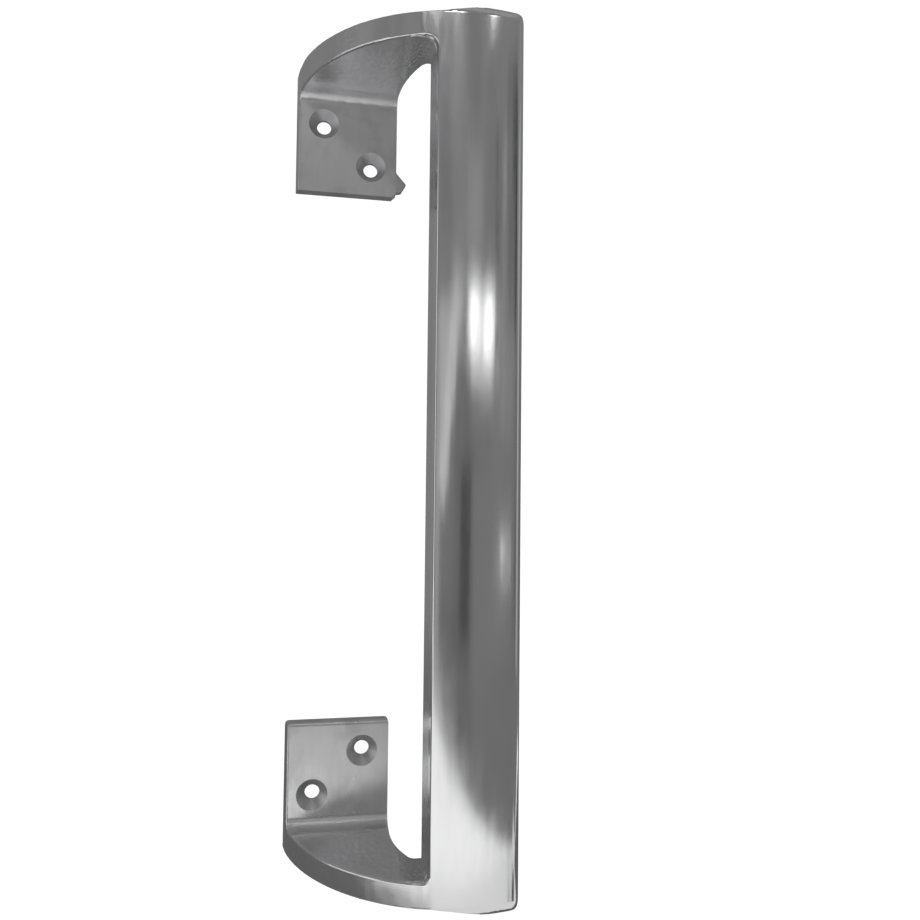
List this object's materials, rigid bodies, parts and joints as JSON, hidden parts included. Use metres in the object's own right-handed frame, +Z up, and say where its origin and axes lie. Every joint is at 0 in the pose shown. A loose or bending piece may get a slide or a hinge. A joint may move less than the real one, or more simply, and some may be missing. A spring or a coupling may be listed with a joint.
{
  "type": "offset pull handle",
  "caption": "One-piece cast aluminium door pull: an upright D-section grip, with an arm at each end that sweeps sideways and back to a countersunk foot plate.",
  "frame": {"origin": "on the door's face, at the middle of the upright line through the two outer screws", "axes": "+Z up along the grip, +X across the door from the feet towards the grip, +Y into the door, so the handle stands in front at negative Y"},
  "size_m": [0.0786, 0.05, 0.306],
  "materials": {
    "cast_aluminium": "satin polished casting with fine lengthwise polishing lines"
  },
  "bodies": {
    "root": {"pull_handle": "cast_aluminium"}
  },
  "joints": []
}
